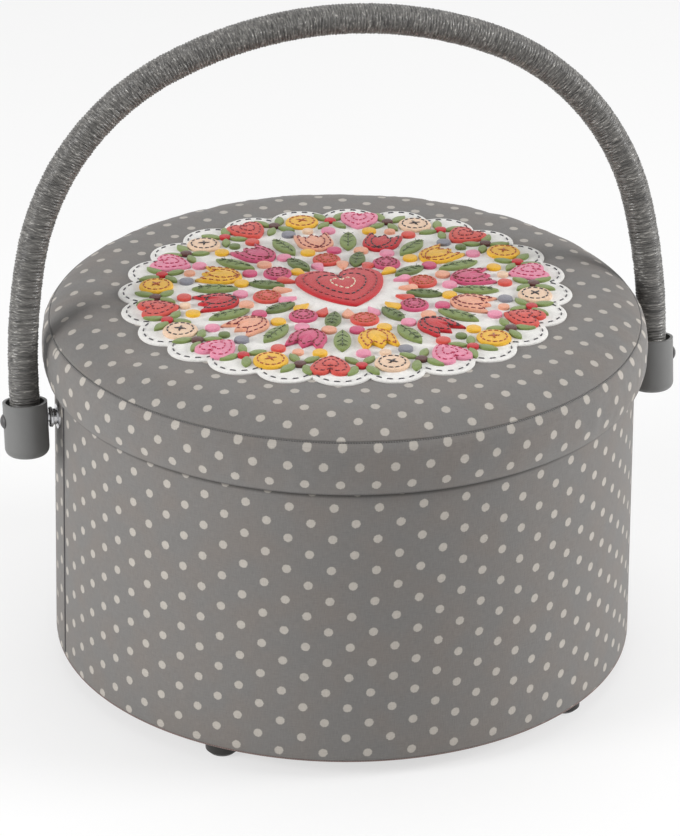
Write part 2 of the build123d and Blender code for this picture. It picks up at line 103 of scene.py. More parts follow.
# Felt picture: a scalloped oval ground with rings of motifs
GROUND_REACH = 99.0
GROUND_SQUASH = 0.93
GROUND_SCALLOPS = 24
SCALLOP_RADIUS = 13.6
GROUND_FELT = 1.0
MOTIF_FELT = 1.4
FELT_TOP = GROUND_FELT + MOTIF_FELT
STITCH_RADIUS = 0.34
HEART_SIZE = 40.0
HEART_CROWN = 1.6
HEART_PLACE = (0, 2, 0)
DROP_RING = 27.5
LEAF_RING = 35.0
FILLING_RING = 46.0
TULIP_RING = 57.0
TIP_RING = 70.5
SMALL_SPOT_RING = 71.5
OUTER_RING = 83.0

# The cloth's print: dots on a centred rectangular lattice. For each cloth: the lattice's pitches, where one dot sits,
# how much its upright and level rows lean, and the radius and height where its coordinates are measured
DOT_RADIUS = 1.9
CROWN_PITCH = (18.8, 14.7)
CROWN_DOTS = (0.0, -7.3)
CROWN_TURN = radians(1.25)
WALL_RADIUS = 128.0
WALL_PITCH = (18.79, 14.44)
WALL_DOTS = (13.27, -0.18)
WALL_SLANT = (0.032, 0.0165)
WALL_HEIGHT = 70.0
BAND_RADIUS = 131.0
BAND_PITCH = (14.65, 16.35)
BAND_DOTS = (13.85, 8.85)
BAND_SLANT = (0.043, 0.0)
BAND_HEIGHT = 148.0
FRONT = radians(-105)

# Stage: how bright the room is, the share of the floor that shows as its own light, and its reach in metres
ROOM_LIGHT = 0.31
FLOOR_GLOW = 0.62
FLOOR_REACH = 40.0


def srgb(red, green, blue):
    """A colour as a picture shows it, 0 to 255, as the linear colour that a shader takes."""
    shares = (red / 255, green / 255, blue / 255)
    return tuple(c / 12.92 if c <= 0.04045 else ((c + 0.055) / 1.055) ** 2.4 for c in shares)


# Node graphs
class Graph:
    """A material's node tree with one Principled shader, and short calls that add nodes to it."""

    def __init__(self, name, roughness=0.5, **settings):
        self.material = bpy.data.materials.new(name)
        self.material.use_nodes = True
        self.tree = self.material.node_tree
        self.shader = self.tree.nodes["Principled BSDF"]
        self.shader.inputs["Roughness"].default_value = roughness
        for socket, value in settings.items():
            self.shader.inputs[socket.replace("_", " ")].default_value = value

    def node(self, kind, **values):
        """A new node, with values for its own settings."""
        made = self.tree.nodes.new("ShaderNode" + kind)
        for key, value in values.items():
            setattr(made, key, value)
        return made

    def feed(self, socket, value):
        """Links a socket to another node's output, or sets its value."""
        if isinstance(value, bpy.types.NodeSocket):
            self.tree.links.new(value, socket)
        elif isinstance(value, tuple) and len(value) == 3 and socket.type == "RGBA":
            socket.default_value = (*value, 1)
        else:
            socket.default_value = value

    def math(self, operation, a, b=0.0):
        made = self.node("Math", operation=operation)
        self.feed(made.inputs[0], a)
        self.feed(made.inputs[1], b)
        return made.outputs[0]

    def plus(self, a, b):
        return self.math("ADD", a, b)

    def minus(self, a, b):
        return self.math("SUBTRACT", a, b)

    def times(self, a, b):
        return self.math("MULTIPLY", a, b)

    def place(self):
        return self.node("TexCoord").outputs["Object"]

    def uv(self, name):
        return self.node("UVMap", uv_map=name).outputs[0]

    def split(self, vector):
        made = self.node("SeparateXYZ")
        self.feed(made.inputs[0], vector)
        return made.outputs

    def join(self, x, y, z=0.0):
        made = self.node("CombineXYZ")
        for socket, value in zip(made.inputs, (x, y, z)):
            self.feed(socket, value)
        return made.outputs[0]

    def noise(self, vector, scale, detail=2.0, roughness=0.5):
        made = self.node("TexNoise")
        self.feed(made.inputs["Vector"], vector)
        for key, value in (("Scale", scale), ("Detail", detail), ("Roughness", roughness)):
            made.inputs[key].default_value = value
        return made.outputs["Fac"]

    def stretched(self, vector, x, y, z=1.0):
        """The vector times a factor on each axis. A noise over it is finer along the larger factors."""
        made = self.node("VectorMath", operation="MULTIPLY")
        self.feed(made.inputs[0], vector)
        made.inputs[1].default_value = (x, y, z)
        return made.outputs[0]

    def ramp(self, value, *stops):
        """A colour ramp. Each stop is a position and a colour, or a level of grey."""
        made = self.node("ValToRGB")
        ramp = made.color_ramp
        while len(ramp.elements) < len(stops):
            ramp.elements.new(0.5)
        for element, (position, colour) in zip(ramp.elements, stops):
            element.position = position
            element.color = (*colour, 1) if isinstance(colour, tuple) else (colour, colour, colour, 1)
        self.feed(made.inputs[0], value)
        return made.outputs[0]

    def spread(self, value, low, high, to_low=0.0, to_high=1.0):
        """Moves the range low to high onto to_low to to_high, and keeps within it."""
        made = self.node("MapRange")
        for socket, item in zip(made.inputs, (value, low, high, to_low, to_high)):
            self.feed(socket, item)
        return made.outputs[0]

    def mix(self, factor, a, b, blend="MIX"):
        """Colour a with b blended over it by factor."""
        made = self.node("Mix", data_type="RGBA", blend_type=blend)
        self.feed(made.inputs["Factor"], factor)
        self.feed(made.inputs[6], a)
        self.feed(made.inputs[7], b)
        return made.outputs[2]

    def colour(self, value):
        self.feed(self.shader.inputs["Base Color"], value)

    def shaded(self, value, shade):
        """Gives the surface that colour, darker or lighter by a factor."""
        self.colour(self.mix(1.0, value, self.join(shade, shade, shade), "MULTIPLY"))

    def roughness(self, value):
        self.feed(self.shader.inputs["Roughness"], value)

    def bump(self, height, distance, strength=1.0):
        """Adds relief of that height in millimetres, over any relief fed before."""
        made = self.node("Bump")
        made.inputs["Strength"].default_value = strength
        made.inputs["Distance"].default_value = distance * MM
        self.feed(made.inputs["Height"], height)
        before = self.shader.inputs["Normal"]
        if before.is_linked:
            self.feed(made.inputs["Normal"], before.links[0].from_socket)
        self.feed(before, made.outputs[0])


# Materials. A noise's scale is per metre, so at 1000 its features are about a millimetre across
CLOTH_GREY = srgb(121, 119, 117)
CLOTH_WARM = srgb(124, 119, 115)
CLOTH_CREAM = srgb(182, 176, 168)
YARN_TWIST = 1.1


def dots(graph, u, v, pitches):
    """1 inside a printed dot and 0 outside, for cloth coordinates in metres."""
    fields = []
    for shift in (0.5, 0.0):
        parts = []
        for value, pitch in zip((u, v), pitches):
            cell = graph.math("FRACT", graph.plus(graph.math("DIVIDE", value, pitch * MM), shift))
            away = graph.times(graph.minus(cell, 0.5), pitch * MM)
            parts.append(graph.times(away, away))
        fields.append(graph.math("SQRT", graph.plus(*parts)))
    ragged = graph.noise(graph.join(u, v), 1400, 2)
    distance = graph.plus(graph.math("MINIMUM", *fields), graph.spread(ragged, 0, 1, -0.35 * MM, 0.35 * MM))
    return graph.spread(distance, (DOT_RADIUS - 0.2) * MM, (DOT_RADIUS + 0.2) * MM, 1, 0)


def dotted_cloth(name, coordinates, pitches, painted_shade=None):
    """Grey cotton with cream dots. coordinates(graph) gives the cloth's own (u, v) in metres. The last argument gives
    the height where the cloth keeps its colour and the height from which painted shade darkens it, at the lid's edge."""
    graph = Graph(name, 0.85, Sheen_Weight=0.12, Sheen_Roughness=0.5, Specular_IOR_Level=0.25)
    u, v = coordinates(graph)
    flat = graph.join(u, v)
    warp = graph.noise(graph.stretched(flat, 2600, 260), 1, 2, 0.6)
    weft = graph.noise(graph.stretched(flat, 260, 2600), 1, 2, 0.6)
    weave = graph.times(graph.plus(warp, weft), 0.5)
    patch = graph.noise(flat, 45, 3)
    ground = graph.mix(graph.spread(patch, 0.4, 0.65), CLOTH_GREY, CLOTH_WARM)
    printed = graph.mix(dots(graph, u, v, pitches), ground, CLOTH_CREAM)
    shade = graph.spread(weave, 0.3, 0.7, 0.86, 1.12)
    # Painted shade: darker between the two heights, where the lid's lower edge shades the cloth
    if painted_shade:
        z = graph.split(graph.place())[2]
        shade = graph.times(shade, graph.spread(z, painted_shade[0] * MM, painted_shade[1] * MM, 1.0, 0.42))
    graph.shaded(printed, shade)
    graph.bump(weave, 0.25, 0.55)
    graph.bump(graph.noise(flat, 90, 3), 0.5, 0.35)
    return graph.material


def round_the_box(radius, height, dot_start, slant):
    """Cloth coordinates on an upright wall, by angle from the front and by height, with the join at the lap.
    slant is how far the lattice's upright and level rows lean."""

    def coordinates(graph):
        x, y, z = graph.split(graph.place())
        zero = LAP - pi
        turned_x = graph.plus(graph.times(x, cos(zero)), graph.times(y, sin(zero)))
        turned_y = graph.minus(graph.times(y, cos(zero)), graph.times(x, sin(zero)))
        turned = graph.plus(graph.math("ARCTAN2", turned_y, turned_x), zero - FRONT)
        along = graph.times(turned, radius * MM)
        up = graph.minus(z, height * MM)
        u = graph.minus(graph.minus(along, graph.times(up, slant[0])), dot_start[0] * MM)
        v = graph.minus(graph.minus(up, graph.times(along, slant[1])), dot_start[1] * MM)
        return u, v

    return coordinates


def laid_flat(map_name, dot_start):
    """Cloth coordinates that the piece's own map holds, in metres."""

    def coordinates(graph):
        x, y, _ = graph.split(graph.uv(map_name))
        return graph.minus(x, dot_start[0] * MM), graph.minus(y, dot_start[1] * MM)

    return coordinates


def plain_cloth(name, colour, scale=1.0, roughness=0.85):
    """Cloth of one colour with a visible weave. A larger scale makes the weave finer."""
    graph = Graph(name, roughness, Sheen_Weight=0.15, Sheen_Roughness=0.5, Specular_IOR_Level=0.25)
    place = graph.place()
    fine = graph.noise(graph.stretched(place, 2600 * scale, 2600 * scale, 500 * scale), 1, 2)
    cross = graph.noise(graph.stretched(place, 500 * scale, 500 * scale, 2600 * scale), 1, 2)
    weave = graph.times(graph.plus(fine, cross), 0.5)
    shade = graph.spread(weave, 0.3, 0.7, 0.85, 1.1)
    patchy = graph.spread(graph.noise(place, 30, 2), 0.3, 0.7, 0.95, 1.04)
    graph.shaded(colour, graph.times(shade, patchy))
    graph.bump(weave, 0.2, 0.6)
    return graph.material


def felt(name, colour, dark=0.82):
    """Pressed wool: matted fibres in every direction. dark is the shade between them."""
    graph = Graph(name, 0.95, Sheen_Weight=0.35, Sheen_Roughness=0.6, Specular_IOR_Level=0.15)
    place = graph.place()
    bend = graph.noise(place, 350, 2)
    wander = graph.node("VectorMath", operation="ADD")
    graph.feed(wander.inputs[0], place)
    graph.feed(wander.inputs[1], graph.stretched(graph.join(bend, bend, bend), 0.004, -0.004, 0.003))
    fibres = graph.noise(wander.outputs[0], 1500, 4, 0.7)
    mottled = graph.noise(place, 130, 3)
    matted = graph.spread(fibres, 0.3, 0.7, dark, 1.12)
    graph.shaded(colour, graph.times(matted, graph.spread(mottled, 0.3, 0.7, 0.93, 1.05)))
    graph.bump(fibres, 0.35, 0.7)
    graph.bump(mottled, 0.5, 0.3)
    return graph.material


def yarn(name, colour):
    """Embroidery thread: two plies that turn round each other, with a little gloss."""
    graph = Graph(name, 0.5, Sheen_Weight=0.3, Specular_IOR_Level=0.4)
    along, around, _ = graph.split(graph.uv("thread"))
    turn = graph.plus(graph.times(along, tau / (YARN_TWIST * MM)), graph.times(around, tau))
    twist = graph.plus(graph.times(graph.math("SINE", turn), 0.5), 0.5)
    graph.shaded(colour, graph.spread(twist, 0, 1, 0.7, 1.15))
    graph.bump(twist, 0.15)
    return graph.material


def wound_thread():
    """Grey satin thread laid turn by turn round the handle: each turn has its own shade and dark gap, and bright
    spots painted into its colour as highlights, where the thread is also glossier.
    """
    graph = Graph("wound_thread", 0.4, Specular_IOR_Level=0.5, Sheen_Weight=0.15)
    along, _, _ = graph.split(graph.uv("thread"))
    _, y, z = graph.split(graph.place())
    wander = graph.noise(graph.stretched(graph.place(), 260, 260, 260), 1, 2, 0.6)
    place = graph.join(graph.plus(along, graph.times(wander, 1.6 * MM)), y, z)
    turns = graph.noise(graph.stretched(place, 1150, 240, 240), 1, 2, 0.6)
    strands = graph.noise(graph.stretched(place, 3000, 620, 620), 1, 2, 0.7)
    gaps = graph.noise(graph.stretched(place, 1900, 330, 330), 1, 1, 0.5)
    painted_glint_and_gloss = graph.noise(graph.stretched(place, 1500, 800, 800), 1, 2, 0.6)
    base = graph.ramp(turns, (0.3, srgb(62, 60, 58)), (0.5, srgb(90, 88, 85)), (0.7, srgb(124, 122, 118)))
    shade = graph.spread(strands, 0.3, 0.7, 0.72, 1.18)
    shade = graph.times(shade, graph.ramp(gaps, (0.34, 0.36), (0.43, 1.0)))
    # Painted highlight: the colour is up to three times brighter on the bright spots
    shade = graph.times(shade, graph.ramp(painted_glint_and_gloss, (0.56, 1.0), (0.67, 3.0)))
    graph.shaded(base, shade)
    graph.roughness(graph.spread(painted_glint_and_gloss, 0.4, 0.66, 0.5, 0.24))
    graph.bump(strands, 0.2, 0.7)
    graph.bump(gaps, 0.35, 0.8)
    return graph.material


def moulded(name, colour, roughness=0.42):
    """Moulded plastic with a fine grain and faint handling marks in its gloss."""
    graph = Graph(name, roughness, Specular_IOR_Level=0.5)
    place = graph.place()
    fine = graph.noise(place, 2200, 2)
    marks = graph.noise(place, 60, 4, 0.65)
    graph.shaded(colour, graph.spread(marks, 0.3, 0.7, 0.95, 1.05))
    graph.roughness(graph.spread(marks, 0.3, 0.7, roughness - 0.06, roughness + 0.08))
    graph.bump(fine, 0.05, 0.3)
    return graph.material


def plated(name, colour, roughness=0.12):
    """Plated metal: mirror-like, with faint scratches and a little haze."""
    graph = Graph(name, roughness, Metallic=1.0)
    place = graph.place()
    haze = graph.noise(place, 300, 3)
    scratches = graph.noise(graph.stretched(place, 200, 4000, 4000), 1, 2)
    graph.shaded(colour, graph.spread(haze, 0.3, 0.7, 0.93, 1.0))
    graph.roughness(graph.spread(haze, 0.3, 0.7, roughness, roughness + 0.12))
    graph.bump(scratches, 0.02, 0.3)
    return graph.material


def card(name, colour):
    """Grey board, with paper fibres that show at its cut edges."""
    graph = Graph(name, 0.9, Specular_IOR_Level=0.2)
    fibres = graph.noise(graph.stretched(graph.place(), 1, 1, 0.3), 900, 4, 0.7)
    graph.shaded(colour, graph.spread(fibres, 0.3, 0.7, 0.8, 1.15))
    graph.bump(fibres, 0.1, 0.5)
    return graph.material


# The print doesn't match across the lap, so the flap's dots start elsewhere
flap_dots = (WALL_DOTS[0] + 7, WALL_DOTS[1] + 3)
wall_print = round_the_box(WALL_RADIUS, WALL_HEIGHT, WALL_DOTS, WALL_SLANT)
flap_print = round_the_box(WALL_RADIUS, WALL_HEIGHT, flap_dots, WALL_SLANT)
band_print = round_the_box(BAND_RADIUS, BAND_HEIGHT, BAND_DOTS, BAND_SLANT)
# Painted shade on the wall's cloth just under the lid's edge, and on the band's cloth along its lower edge
wall_cloth = dotted_cloth("wall_cloth", wall_print, WALL_PITCH, (LID_BOTTOM - 2.9, LID_BOTTOM - 1.5))
flap_cloth = dotted_cloth("flap_cloth", flap_print, WALL_PITCH)
crown_cloth = dotted_cloth("crown_cloth", laid_flat("cloth", CROWN_DOTS), CROWN_PITCH)
band_cloth = dotted_cloth("band_cloth", band_print, BAND_PITCH, (LID_BOTTOM + 1.3, LID_BOTTOM + 0.3))
lining_cloth = plain_cloth("lining_cloth", srgb(196, 190, 180))
base_cloth = plain_cloth("base_cloth", srgb(122, 104, 98))
pin_satin = plain_cloth("pin_satin", srgb(176, 74, 92), 1.6, 0.45)
grey_board = card("grey_board", srgb(146, 134, 114))
chrome = plated("chrome", srgb(205, 205, 207))
hinge_steel = plated("hinge_steel", srgb(178, 176, 172), 0.28)
socket_plastic = moulded("socket_plastic", srgb(112, 112, 111))
cap_plastic = moulded("cap_plastic", srgb(72, 71, 71))
foot_plastic = moulded("foot_plastic", srgb(38, 36, 34), 0.5)
tray_plastic = moulded("tray_plastic", srgb(226, 222, 212), 0.38)
handle_thread = wound_thread()
white_felt = felt("white_felt", srgb(236, 234, 230), 0.88)
FELTS = {
    "red": felt("red_felt", srgb(196, 28, 38)),
    "pink": felt("pink_felt", srgb(233, 145, 172)),
    "magenta": felt("magenta_felt", srgb(205, 78, 118)),
    "coral": felt("coral_felt", srgb(214, 78, 66)),
    "peach": felt("peach_felt", srgb(236, 168, 138)),
    "yellow": felt("yellow_felt", srgb(238, 184, 42)),
    "cream": felt("cream_felt", srgb(240, 206, 176)),
    "green": felt("green_felt", srgb(128, 146, 82)),
    "olive": felt("olive_felt", srgb(104, 122, 66)),
    "brown": felt("brown_felt", srgb(86, 44, 38)),
    "grey": felt("grey_felt", srgb(136, 136, 146)),
}
YARNS = {
    "charcoal": yarn("charcoal_yarn", srgb(66, 64, 68)),
    "wine": yarn("wine_yarn", srgb(126, 20, 30)),
    "black": yarn("black_yarn", srgb(44, 32, 34)),
    "rust": yarn("rust_yarn", srgb(176, 84, 22)),
    "rose": yarn("rose_yarn", srgb(196, 44, 92)),
    "leaf": yarn("leaf_yarn", srgb(70, 86, 42)),
    "cream": yarn("cream_yarn", srgb(240, 226, 200)),
    "grey": yarn("grey_yarn", srgb(90, 88, 86)),
    "brown": yarn("brown_yarn", srgb(124, 102, 96)),
}


# Mesh helpers
def linked(name, data):
    """A new object with that data, in the scene."""
    thing = bpy.data.objects.new(name, data)
    bpy.context.scene.collection.objects.link(thing)
    return thing


def make(name, points, faces, material, body, coordinates=None, map_name="cloth", smooth=True):
    """A mesh object that rides on a body. coordinates gives each point's place on the cloth or thread."""
    mesh = bpy.data.meshes.new(name)
    mesh.from_pydata([Vector(p) * MM for p in points], [], faces)
    mesh.validate()
    mesh.polygons.foreach_set("use_smooth", [smooth] * len(mesh.polygons))
    if coordinates:
        layer = mesh.uv_layers.new(name=map_name)
        for loop in mesh.loops:
            layer.data[loop.index].uv = coordinates[loop.vertex_index]
    mesh.materials.append(material)
    thing = linked(name, mesh)
    fix_normals(mesh)
    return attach(thing, body)


def fix_normals(mesh):
    """Turns every face outwards."""
    work = bmesh.new()
    work.from_mesh(mesh)
    bmesh.ops.recalc_face_normals(work, faces=work.faces)
    work.to_mesh(mesh)
    work.free()


def skin(first, rings, around, capped=True):
    """Faces over rings of points, around points to a ring, from the point numbered first. capped closes the ends."""
    faces = []
    for k in range(rings - 1):
        for j in range(around):
            a, b = first + k * around + j, first + k * around + (j + 1) % around
            faces.append((a, b, b + around, a + around))
    if capped:
        last = first + (rings - 1) * around
        faces += [tuple(range(first, first + around)), tuple(range(last, last + around))]
    return faces


def circle(radius, height):
    """A path once round the box, in steps of a degree, closed."""
    return [(radius * cos(tau * k / 360), radius * sin(tau * k / 360), height) for k in range(361)]


def lathe(profile, steps, shape):
    """Points, faces and profile distances of a form turned round Z. shape(x, y, z) moves each point."""
    lengths = [0.0]
    for (r0, z0), (r1, z1) in zip(profile, profile[1:]):
        lengths.append(lengths[-1] + hypot(r1 - r0, z1 - z0))
    angles = [tau * j / steps for j in range(steps)]
    points = [shape(r * cos(angle), r * sin(angle), z) for r, z in profile for angle in angles]
    return points, skin(0, len(profile), steps, capped=False), lengths


def arc(start, end, tangent, count):
    """Points on the arc that leaves start along tangent and reaches end."""
    dx, dy = end[0] - start[0], end[1] - start[1]
    tx, ty = tangent
    cross = tx * dy - ty * dx
    radius = (dx * dx + dy * dy) / (2 * cross)
    cx, cy = start[0] - ty * radius, start[1] + tx * radius
    first = atan2(start[1] - cy, start[0] - cx)
    sweep = 2 * atan2(cross, tx * dx + ty * dy)
    return [
        (cx + abs(radius) * cos(first + sweep * k / count), cy + abs(radius) * sin(first + sweep * k / count))
        for k in range(count + 1)
    ]


def tubes(name, paths, radius, material, body, sides=6):
    """Round strands along paths of points, pointed a little at both ends, as one mesh."""
    points, faces, coordinates = [], [], []
    for path in paths:
        path = [Vector(p) for p in path]
        first = len(points)
        travelled = 0.0
        for k, point in enumerate(path):
            ahead = path[min(k + 1, len(path) - 1)] - path[max(k - 1, 0)]
            ahead.normalize()
            side = ahead.cross(Vector((0, 0, 1)))
            if side.length < 0.1:
                side = ahead.cross(Vector((0, 1, 0)))
            side.normalize()
            up = side.cross(ahead)
            if k:
                travelled += (point - path[k - 1]).length
            thick = radius * (0.45 if k in (0, len(path) - 1) else 1.0)
            for j in range(sides):
                angle = tau * j / sides
                points.append(point + thick * (cos(angle) * side + sin(angle) * up))
                coordinates.append((travelled * MM, j / sides))
        faces += skin(first, len(path), sides)
    return make(name, points, faces, material, body, coordinates, "thread")


def clamped(value):
    return max(0.0, min(1.0, value))


# Padded crown: cloth drawn over wadding, pinched down at the seam
def crown_at(radius):
    """The even dome's height at that distance from the middle."""
    return CROWN_HEIGHT - DOME_SPHERE + sqrt(DOME_SPHERE**2 - radius**2)


CROWN_STEPS = 420
DOME_RINGS = 46


def wadding_sink(x, y):
    """How far the cloth lies below the even dome: uneven wadding, and a soft hollow at the left."""
    quilt = noise.noise(Vector((x * 0.028, y * 0.028, 7)))
    hollow = max(0.0, 1 - hypot(x - HOLLOW_X, y - HOLLOW_Y) / HOLLOW_RADIUS) ** 2
    return HOLLOW_DEPTH * hollow - 0.25 * quilt


def crown_profile():
    """From the middle of the top over the shoulder to the seam, and back under the wadding."""
    shoulder = (SHOULDER_RADIUS, crown_at(SHOULDER_RADIUS))
    slope = SHOULDER_RADIUS / DOME_SPHERE
    tangent = Vector((1, -slope)).normalized()
    radii = [MIDDLE] + [SHOULDER_RADIUS * k / DOME_RINGS for k in range(1, DOME_RINGS)]
    top = [(r, crown_at(r)) for r in radii]
    round_over = arc(shoulder, (SEAM_RADIUS - 0.25, SEAM_HEIGHT + 0.35), tangent, 24)
    into_seam = [(SEAM_RADIUS - SEAM_DEPTH, SEAM_HEIGHT - 0.1), (SEAM_RADIUS - 1.3, SEAM_HEIGHT - 0.5)]
    under = [(BAND_OUTER, TOP_BOARD), (100, TOP_BOARD), (MIDDLE, TOP_BOARD)]
    return top + round_over + into_seam + under


def soften_crown(x, y, z):
    """Uneven wadding under the cloth, and short puckers that run in from the seam."""
    radius = hypot(x, y)
    if z <= TOP_BOARD + 0.1 or radius < 1:
        return x, y, z
    angle = atan2(y, x)
    near_seam = clamped((radius - PUCKER_START) / 20)
    edge_fade = clamped((z - SEAM_HEIGHT - 0.3) / 3)
    wave = noise.noise(Vector((cos(angle) * 9, sin(angle) * 9, 3)))
    pucker = noise.noise(Vector((cos(angle) * 34, sin(angle) * 34, radius * 0.03)))
    drop = edge_fade * (0.55 * near_seam * wave + 0.35 * near_seam * pucker + wadding_sink(x, y))
    return x, y, z - drop


points, faces, lengths = lathe(crown_profile(), CROWN_STEPS, soften_crown)
spread_out = []
for k, length in enumerate(lengths):
    for j in range(CROWN_STEPS):
        angle = tau * j / CROWN_STEPS - CROWN_TURN
        spread_out.append((length * MM * cos(angle), length * MM * sin(angle)))
crown = make("crown", points, faces, crown_cloth, "lid", spread_out)
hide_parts("lid_top_cover", "lid_padding")


# Padded band: bulges between the seam and the lid's lower edge, pressed flat under the hinge's leaf
BAND_STEPS = 480


def band_profile():
    """From the lid's inner lower edge round the bulge to the seam, and back behind the wadding."""
    lower = (BAND_EDGE_RADIUS, LID_BOTTOM + 1.5)
    bulge = (BULGE_RADIUS, BULGE_HEIGHT)
    turned_in = [
        (BAND_INNER, LID_BOTTOM + 0.6),
        (BAND_OUTER - 1.4, LID_BOTTOM + 0.25),
        (BAND_EDGE_RADIUS - 1.2, LID_BOTTOM),
        (BAND_EDGE_RADIUS - 0.4, LID_BOTTOM + 0.5),
    ]
    rising = arc(bulge, lower, (0, -1), 16)[::-1]
    climbing = arc(bulge, BAND_SHOULDER, (0, 1), 10)[1:]
    closing = arc(climbing[-1], (SEAM_RADIUS + 0.3, SEAM_HEIGHT), (-0.18, 1), 12)[1:]
    into_seam = [(SEAM_RADIUS - SEAM_DEPTH, SEAM_HEIGHT - 0.35), (SEAM_RADIUS - 1.2, SEAM_HEIGHT - 0.5)]
    return turned_in + rising + climbing + closing + into_seam + [(BAND_OUTER, TOP_BOARD)]


def soften_band(x, y, z):
    """Uneven wadding and puckers, and the flat place that the hinge's leaf presses."""
    radius, angle = hypot(x, y), atan2(y, x)
    swell = clamped((radius - SEAM_RADIUS - 0.2) / 3)
    wave = noise.noise(Vector((cos(angle) * 7, sin(angle) * 7, z * 0.02)))
    pucker = noise.noise(Vector((cos(angle) * 30, sin(angle) * 30, z * 0.08)))
    grown = radius + swell * (0.35 * wave + 0.3 * pucker)
    x, y = grown * cos(angle), grown * sin(angle)
    if abs(x) < LEAF_HALF_WIDTH and y > 0 and z < LEAF_TOP:
        y = min(y, LEAF_BACK)
    return x, y, z


points, faces, _ = lathe(band_profile(), BAND_STEPS, soften_band)
last = len(points) - BAND_STEPS
for j in range(BAND_STEPS):
    after = (j + 1) % BAND_STEPS
    faces.append((j, after, last + after, last + j))
band = make("band", points, faces, band_cloth, "lid")
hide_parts("lid_band_cover", "lid_band_padding")

# The sewing line: a grey thread that fills the groove between the crown and the band. It is darker than the cloth:
# the stitching, and painted shade in the groove
seam = tubes("seam_thread_and_shade", [circle(SEAM_RADIUS, SEAM_HEIGHT)], 0.32, YARNS["grey"], "lid")


# Pincushion: a stuffed disc, drawn in at its edge
def cushion_profile():
    """From the lowest point of the belly out to the rounded edge, and back along the lid's lining."""
    inner = CUSHION_RADIUS - CUSHION_ROUND
    belly = arc((MIDDLE, CUSHION_TOP - CUSHION_DEPTH), (inner, CUSHION_TOP - CUSHION_EDGE), (1, 0), 26)
    edge = [
        (inner + CUSHION_ROUND * cos(t), CUSHION_TOP - CUSHION_EDGE / 2 + CUSHION_ROUND * sin(t))
        for t in [-pi / 2 + pi * k / 8 for k in range(1, 9)]
    ]
    return belly + edge + [(MIDDLE, CUSHION_TOP)]


def gather_cushion(x, y, z):
    """Folds that run in from the edge, where the satin is gathered."""
    radius, angle = hypot(x, y), atan2(y, x)
    if z > CUSHION_TOP - 1:
        return x, y, z
    gather = max(0.0, (radius - GATHER_START) / (CUSHION_RADIUS - GATHER_START))
    fold = noise.noise(Vector((cos(angle) * 10, sin(angle) * 10, 2)))
    fine = noise.noise(Vector((cos(angle) * 26, sin(angle) * 26, 5)))
    return x, y, z + gather * (0.6 * fold + 0.45 * fine)


points, faces, _ = lathe(cushion_profile(), 240, gather_cushion)
pincushion = make("pin_pad", points, faces, pin_satin, "lid")
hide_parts("pincushion")


# Handle: thread wound close round the rod
STEPS_PER_TURN = 5
AROUND = 40


def handle_line(step):
    """Places along the rod's middle in the handle's own plane, each with its heading, from one end to the other."""
    leg_turn, turned = LEG_ARC[1], LEG_ARC[1] + SHOULDER_ARC[1]
    left = HALF_SPAN - LEG_ARC[0] * (1 - cos(leg_turn)) - SHOULDER_ARC[0] * (cos(leg_turn) - cos(turned))
    pieces = [LEG_ARC, SHOULDER_ARC, (left / cos(turned), pi / 2 - turned)]
    x, y, heading = -HALF_SPAN, LEG_TAIL, pi / 2
    line = []
    straight = int((LEG_STRAIGHT - LEG_TAIL) / step)
    for _ in range(straight):
        line.append((x, y, heading))
        y += (LEG_STRAIGHT - LEG_TAIL) / straight
    for radius, sweep in pieces:
        count = int(radius * sweep / step)
        for _ in range(count):
            line.append((x, y, heading))
            turn = sweep / count
            chord = 2 * radius * sin(turn / 2)
            x += chord * cos(heading - turn / 2)
            y += chord * sin(heading - turn / 2)
            heading -= turn
    return line + [(-x, y, -heading) for x, y, heading in reversed(line)]


def winding_radius(travelled, angle):
    """The turns stand out as a helix that wanders, over uneven lumps."""
    jitter = noise.noise(Vector((travelled * 0.3, cos(angle) * 1.3, sin(angle) * 1.3)))
    phase = tau * travelled / THREAD_PITCH - angle + 2.6 * jitter
    lump = noise.noise(Vector((travelled * 0.9, cos(angle) * 2.2, sin(angle) * 2.2 + 9)))
    return WRAP_RADIUS - 0.26 + 0.16 * cos(phase) + 0.24 * lump


lean_up = Vector((0, sin(HANDLE_LEAN), cos(HANDLE_LEAN)))
lean_out = Vector((0, -cos(HANDLE_LEAN), sin(HANDLE_LEAN)))
step = THREAD_PITCH / STEPS_PER_TURN
line = handle_line(step)
points, coordinates = [], []
for i, (x, y, heading) in enumerate(line):
    middle = Vector((x, 0, PIVOT_HEIGHT)) + lean_up * y
    across = Vector((-sin(heading), 0, 0)) + lean_up * cos(heading)
    travelled = i * step
    for j in range(AROUND):
        angle = tau * j / AROUND
        outwards = cos(angle) * across + sin(angle) * lean_out
        points.append(middle + winding_radius(travelled, angle) * outwards)
        coordinates.append((travelled * MM, j / AROUND))
faces = skin(0, len(line), AROUND)
winding = make("winding", points, faces, handle_thread, "handle", coordinates, "thread")
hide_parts("handle_grip")


# Felt picture
def on_dome(x, y, height):
    """The point that lies that much above the crown's cloth."""
    return (x, y, crown_at(hypot(x, y)) - wadding_sink(x, y) + height)


def ring_places(radius, count, start=0.0):
    """Places round the oval, each with the angle that turns a motif's own +Y outwards."""
    angles = [radians(start) + tau * k / count for k in range(count)]
    return [(radius * cos(a), radius * GROUND_SQUASH * sin(a), a - pi / 2) for a in angles]


